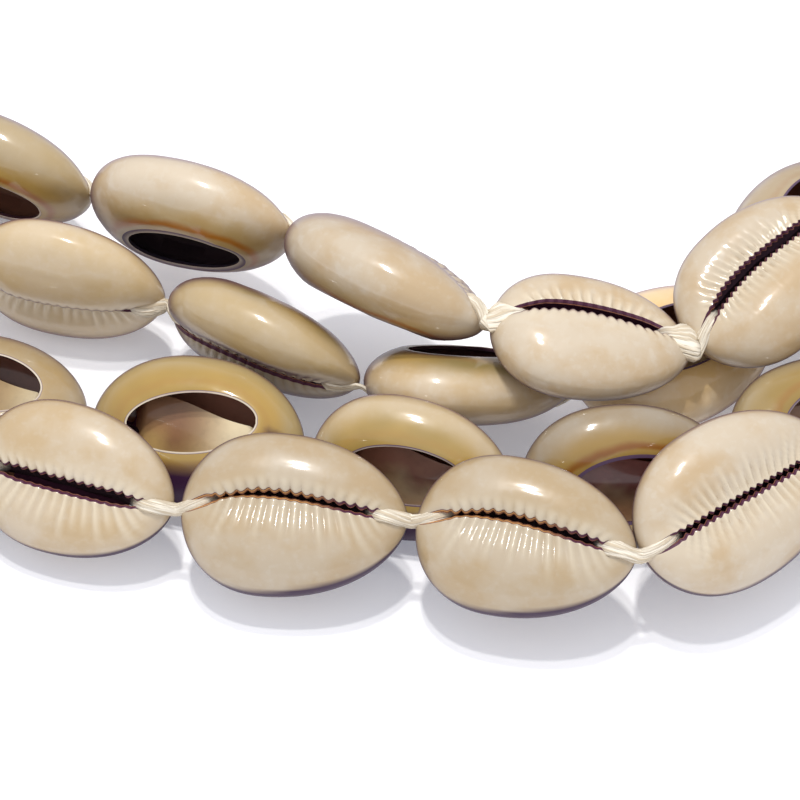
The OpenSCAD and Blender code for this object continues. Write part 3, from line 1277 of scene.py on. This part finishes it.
def declare(piece: bpy.types.Object, node: str) -> bpy.types.Object:
    """Tells the frame what a piece is. Every piece rides on the root.

    Args:
        piece: The piece.
        node: The CAD node that it replaces.

    Returns:
        The piece.
    """
    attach(piece, "root")
    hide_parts(node)
    return piece


@dataclass
class Strand:
    """One row of shells, made as one piece."""

    name: StrandName
    route: Route
    shape: ShellShape
    looks: dict[int, ShellLook] = field(default_factory=dict)
    # Edges that turn more than this stay sharp, in degrees
    sharp_from: float = 55.0

    def look(self, i: int) -> ShellLook:
        """The look of one shell: chosen where the front shows it, and drawn by lot elsewhere.

        Args:
            i: Number of the shell in its strand.

        Returns:
            Its look.
        """
        shown = i - self.route.shown(self.name.value).start
        if shown in self.looks:
            return self.looks[shown]
        lot = random.Random(100 * self.name.value + i)
        return ShellLook(slit_half=lot.uniform(0.45, 0.65), bend=lot.uniform(0.2, 0.5),
                         widest=lot.uniform(-0.2, -0.08), teeth=lot.choice((15, 16, 17)),
                         tone=lot.uniform(0.88, 1.05), warm=lot.uniform(0.2, 1), gold=lot.uniform(0.5, 1),
                         line=lot.uniform(0.1, 0.8), olive=lot.uniform(0.2, 0.9), seed=lot.uniform(0, 9))

    def placed(self) -> list[tuple[Placed, ShellLook, bool]]:
        """Puts all shells in their places.

        Returns:
            Each shell's place and look, and whether the front shows it closely.
        """
        k = self.name.value
        joints, rolls, start = self.route.joints(k), self.route.rolls(k), self.route.shown(k).start
        places = [Placed.between(a, b, roll, self.route) for a, b, roll in zip(joints, joints[1:], rolls)]
        return [(place, self.look(i), i - start in self.looks) for i, place in enumerate(places)]

    def build(self, finishes: list[bpy.types.Material]) -> bpy.types.Object:
        """Makes all shells of the strand.

        Args:
            finishes: Materials of the outside, the cut edge and the inside.

        Returns:
            The strand's piece.
        """
        made, offset = [], 0
        for place, look, close in self.placed():
            shell = self.shape.build(Detail.FINE if close else Detail.PLAIN, look)
            points = shell.points * place.length / self.route.shell_l
            shell.points = self.route.to_frame(place.put(points))
            shell.quads = shell.quads + offset
            offset += len(shell.points)
            made.append(shell)
        join = {key: np.concatenate([getattr(shell, key) for shell in made]) for key in vars(made[0])}
        piece = make_object(f"{self.name.name.lower()}_cowries", join["points"], join["quads"],
                            {key: join[key] for key in ("form", "tint", "mark", "place")})
        for material in finishes:
            piece.data.materials.append(material)
        piece.data.polygons.foreach_set("material_index", join["finish"].astype(np.int32))
        piece.data.set_sharp_from_angle(angle=math.radians(self.sharp_from))
        return declare(piece, self.name.shells_node)


@dataclass
class Thread:
    """The flat fibrous thread of one strand, in a closed loop."""

    strand: Strand
    sides: int = 16
    wide: float = 0.7
    thin: float = 0.4
    step: float = 0.55
    # Half of a shell, from its tip inwards: distance from the tip, how far towards the base, and how dark the
    # painted shade on it is
    dips: tuple = ((-0.2, 0.5, 0), (0.9, 1.2, 0), (2.0, 1.4, 0), (2.7, 1.1, 0.3), (3.3, 0.6, 1), (5.0, 0, 1))
    # Share of a shell's half length past which its knot is as thick as its look says
    knot_from: float = 0.8
    # Width and twist along the thread as waves: how strong, how fast in each millimetre, and for the width
    # where they start
    width_waves: tuple = ((0.12, 0.57, 1), (0.08, 1.7, 0))
    twist_waves: tuple = ((0.35, 0.31), (0.25, 0.83))
    # How much narrower the thread is where it is dark
    dark_narrow: float = 0.35
    # Grooves between the fibres: depth, number round the thread, and turn in each millimetre
    groove: tuple = (0.09, 5, 0.9)
    # Size of the fibre grain along and round the thread
    grain: tuple = (0.35, 3.5)

    def path(self) -> tuple[np.ndarray, np.ndarray, np.ndarray]:
        """The thread's line.

        Returns:
            Its points, the way its flat side faces at each, how dark its painted shade is there, and how
            thick it is there.
        """
        shape, route, k = self.strand.shape, self.strand.route, self.strand.name.value
        points, faces, marks = [], [], []
        for place, look, _ in self.strand.placed():
            base = place.turn @ np.array([0, 0, -1.0])
            half = place.length / 2
            left = [(-half + gap, sink, shade) for gap, sink, shade in self.dips]
            right = [(half - gap, sink, shade) for gap, sink, shade in self.dips[::-1]]
            for x, sink, shade in (*left, (0.0, 0.0, 1.0), *right):
                share, aside, thick = x / half, 0, 1.0
                if abs(share) < 1:
                    aside = shape.slit_line(np.array(share), look) * place.length / route.shell_l
                if abs(share) > self.knot_from:
                    thick = look.knots[share > 0]
                points.append(place.middle + place.turn @ np.array([x, aside, -sink]))
                faces.append(base)
                marks.append((shade, thick))
        before, after = route.loose_ends(k)
        tie = route.tie_points(k)
        up, plain = np.array([0, 0, 1.0]), (0.0, 1.0)
        ahead, behind = len(tie) + len(after), len(before)
        points = [*tie, *after[::-1], *points[::-1], *before]
        faces = [up] * ahead + faces[::-1] + [up] * behind
        marks = [plain] * ahead + marks[::-1] + [plain] * behind
        return np.array(points), np.array(faces), np.array(marks)

    def _smooth(self) -> tuple[np.ndarray, np.ndarray, np.ndarray, np.ndarray]:
        """The thread's line in short steps.

        Returns:
            Its points, the way its flat side faces at each, and how dark and how thick it is there.
        """
        points, faces, marks = self.path()
        n = len(points)
        line, facing, mark = [], [], []
        for i in range(n):
            a, b, c, d = (points[(i + j) % n] for j in (-1, 0, 1, 2))
            steps = max(2, half_up(np.linalg.norm(c - b) / self.step))
            for t in np.arange(steps) / steps:
                line.append(curve_point(a, b, c, d, t))
                facing.append(faces[i] * (1 - t) + faces[(i + 1) % n] * t)
                mark.append(marks[i] * (1 - t) + marks[(i + 1) % n] * t)
        dark, thick = np.array(mark).T
        return np.array(line), np.array(facing), dark, thick

    def build(self, finish: bpy.types.Material) -> bpy.types.Object:
        """Sweeps the thread's flat section along its line.

        Args:
            finish: The thread's material.

        Returns:
            The thread's piece.
        """
        name = self.strand.name
        line, facing, dark, thick = self._smooth()
        way = np.roll(line, -1, 0) - np.roll(line, 1, 0)
        way /= np.linalg.norm(way, axis=1)[:, None]
        across = np.cross(facing, way)
        across /= np.linalg.norm(across, axis=1)[:, None]
        up = np.cross(way, across)
        run = Line(line).runs
        (slow, slow_pace), (fast, fast_pace) = self.twist_waves
        twist = slow * np.sin(run * slow_pace + name.value) + fast * np.sin(run * fast_pace)
        cos, sin = np.cos(twist), np.sin(twist)
        swell = 1 + sum(strong * np.sin(run * pace + start) for strong, pace, start in self.width_waves)
        swell = swell * (1 - self.dark_narrow * dark) * thick
        deep, count, turn = self.groove
        angle = circle(self.sides)
        rings = []
        for t in angle:
            groove = 1 + deep * np.cos(count * t + run * turn)
            u, v = self.wide * swell * groove * math.cos(t), self.thin * thick * groove * math.sin(t)
            rings.append(line + across * (u * cos - v * sin)[:, None] + up * (u * sin + v * cos)[:, None])
        rings = np.stack(rings, 1).reshape(-1, 3)
        long, wide = self.grain
        round_it = [np.tile(part(angle) * wide, len(line)) for part in (np.cos, np.sin)]
        place = np.stack([np.repeat(run * long, self.sides), *round_it], 1)
        # the thread's painted shade inside the shells, which the finish reads
        form = np.repeat(dark, self.sides)[:, None] * np.array([1.0, 0.0, 0.0])
        piece = make_object(f"{name.name.lower()}_cord", self.strand.route.to_frame(rings),
                            grid_quads(len(line), self.sides, True), {"place": place, "form": form})
        piece.data.materials.append(finish)
        return declare(piece, name.thread_node)


@dataclass
class BackTie:
    """The wound knot that gathers the threads at the back."""

    route: Route
    turns: int = 9
    turn_steps: int = 40
    core: float = 2.7
    bore: float = 1.9
    cord: float = 0.5
    sides: int = 12
    sleeve_sides: int = 48
    # How far the winding stays inside the tie, how much more at its ends, and how much shorter it is
    clear: float = 0.06
    sink: float = 0.45
    short: float = 0.1
    # How fast the cord thickens from its ends, and its thickness there
    taper: float = 60.0
    taper_end: float = 0.15
    # Grooves between the fibres: depth, number round the cord, and turns for each turn of the winding
    groove: tuple = (0.08, 4, 3)
    grain: float = 3.5
    # The sleeve: how much shorter it is than the tie, the bevel of its rim, and where that starts
    sleeve_short: float = 0.2
    bevel: float = 0.4
    bevel_from: float = 0.46

    def _winding(self) -> tuple[np.ndarray, np.ndarray, np.ndarray]:
        """The cord that is wound round the sleeve, thinner at both ends.

        Returns:
            Its points, its faces and what its finish reads at each point.
        """
        steps = self.turns * self.turn_steps
        t = np.arange(steps) / (steps - 1)
        angle = t * self.turns * 2 * np.pi
        radius = self.route.tie_d / 2 - self.cord - self.clear - self.sink * np.abs(2 * t - 1) ** 4
        x = (t - 0.5) * (self.route.tie_l - 2 * self.cord - self.short)
        line = np.stack([x, radius * np.cos(angle), radius * np.sin(angle)], 1)
        way = np.gradient(line, axis=0)
        way /= np.linalg.norm(way, axis=1)[:, None]
        out = np.stack([0 * x, np.cos(angle), np.sin(angle)], 1)
        out -= way * (out * way).sum(1)[:, None]
        out /= np.linalg.norm(out, axis=1)[:, None]
        over = np.cross(way, out)
        section = circle(self.sides)
        thick = self.cord * np.clip(np.minimum(t, 1 - t) * self.taper, self.taper_end, 1)
        deep, count, twist = self.groove
        rings = []
        for turn in section:
            groove = thick * (1 + deep * np.cos(count * turn + twist * angle))
            rings.append(line + (out * math.cos(turn) + over * math.sin(turn)) * groove[:, None])
        round_it = [np.tile(part(section) * self.grain, steps) for part in (np.cos, np.sin)]
        place = np.stack([np.repeat(angle, self.sides), *round_it], 1)
        return np.stack(rings, 1).reshape(-1, 3), grid_quads(steps, self.sides, False), place

    def _sleeve(self) -> tuple[np.ndarray, np.ndarray]:
        """The drilled sleeve under the winding.

        Returns:
            Its points and its faces.
        """
        long, rim = self.route.tie_l - self.sleeve_short, self.core - self.bevel
        half = [(0.5, self.bore), (0.5, rim), (self.bevel_from, self.core)]
        profile = [(-share, radius) for share, radius in half[::-1]] + half
        around = circle(self.sleeve_sides)
        rings = [np.stack([0 * around + share * long, radius * np.cos(around), radius * np.sin(around)], 1)
                 for share, radius in profile]
        return np.concatenate(rings), grid_quads(len(profile), self.sleeve_sides, True)

    def build(self, finish: bpy.types.Material) -> bpy.types.Object:
        """Makes the winding and the sleeve as one piece.

        Args:
            finish: The thread's material.

        Returns:
            The tie's piece.
        """
        winding, quads, place = self._winding()
        sleeve, more = self._sleeve()
        points = np.concatenate([winding, sleeve]) + np.array([*self.route.tie_at, self.route.tie_d / 2])
        quads = np.concatenate([quads, more + len(winding)])
        place = np.concatenate([place, sleeve])
        piece = make_object("tie_winding", self.route.to_frame(points), quads,
                            {"place": place, "form": 0 * place})
        piece.data.materials.append(finish)
        return declare(piece, "back_tie")


@dataclass(frozen=True)
class Lamp:
    """A round lamp: its name, its place from the middle of the view in metres, its size, power and colour."""

    name: str
    at: tuple
    size: float
    power: float
    colour: Colour

    def hang(self, look_at: Vector) -> None:
        """Puts the lamp in the scene.

        Args:
            look_at: The middle of the view, which it faces.
        """
        data = bpy.data.lights.new(self.name, "AREA")
        data.shape, data.size, data.energy, data.color = "DISK", self.size, self.power, self.colour
        lamp = bpy.data.objects.new(self.name, data)
        lamp.location = look_at + Vector(self.at)
        lamp.rotation_euler = (look_at - lamp.location).to_track_quat("-Z", "Y").to_euler()
        bpy.context.scene.collection.objects.link(lamp)


@dataclass(frozen=True)
class Studio:
    """Floor, lamps, sky and camera. Lengths in metres."""

    look_at: tuple = (0.006, -0.0742, 0.0)
    distance: float = 0.26
    elevation: float = 50.0
    view_width: float = 0.073
    clip_start: float = 0.01
    floor_size: float = 3.0
    key: Lamp = Lamp("key_lamp", (-0.05, 0.14, 0.93), 0.055, 3.4, (1.0, 0.98, 0.95))
    second: Lamp = Lamp("second_lamp", (-0.06, 0.01, 0.93), 0.045, 2.5, (1.0, 0.99, 0.98))
    sky: Colour = (0.94, 0.95, 1.0)
    sky_strength: float = 0.92

    def _floor(self, finish: bpy.types.Material) -> None:
        """Lays the floor under the necklace.

        Args:
            finish: The floor's material.
        """
        bpy.ops.mesh.primitive_plane_add(size=self.floor_size, location=(0, 0, 0))
        floor = bpy.context.object
        floor.name = "floor"
        floor.data.materials.append(finish)

    def _sky(self) -> None:
        """Sets the soft light from all round."""
        world = bpy.data.worlds.new("sky")
        world.use_nodes = True
        world.node_tree.nodes["Background"].inputs[0].default_value = (*self.sky, 1)
        world.node_tree.nodes["Background"].inputs[1].default_value = self.sky_strength
        bpy.context.scene.world = world
        bpy.context.scene.view_settings.view_transform = "Standard"

    def _camera(self) -> None:
        """Sets the camera at the photo's angle."""
        data = bpy.data.cameras.new("camera")
        data.angle = 2 * math.atan(self.view_width / 2 / self.distance)
        data.clip_start = self.clip_start
        camera = bpy.data.objects.new("camera", data)
        tilt = math.radians(self.elevation)
        camera.location = Vector(self.look_at) + self.distance * Vector((0, -math.cos(tilt), math.sin(tilt)))
        camera.rotation_euler = (math.radians(90 - self.elevation), 0, 0)
        bpy.context.scene.collection.objects.link(camera)
        bpy.context.scene.camera = camera

    def build(self, finish: bpy.types.Material) -> None:
        """Sets the stage.

        Args:
            finish: The floor's material.
        """
        self._floor(finish)
        for lamp in (self.key, self.second):
            lamp.hang(Vector(self.look_at))
        self._sky()
        self._camera()


def main() -> None:
    """Builds the necklace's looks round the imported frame."""
    logging.basicConfig(level=logging.INFO, format="%(name)s: %(message)s")
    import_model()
    route, shape = Route(), ShellShape()
    grain, fibre = shell_grain(), fibre_grain()
    finishes = [OutsideFinish().make(grain), EdgeFinish().make(grain), InsideFinish().make(grain)]
    thread_finish = ThreadFinish().make(fibre)
    pieces = []
    for name in StrandName:
        strand = Strand(name, route, shape, FRONT_LOOKS[name])
        pieces += [strand.build(finishes), Thread(strand).build(thread_finish)]
    pieces.append(BackTie(route).build(thread_finish))
    for piece in pieces:
        LOG.info("%s: %d faces", piece.name, len(piece.data.polygons))
    Studio().build(FloorFinish().make())


if __name__ == "__main__":
    main()
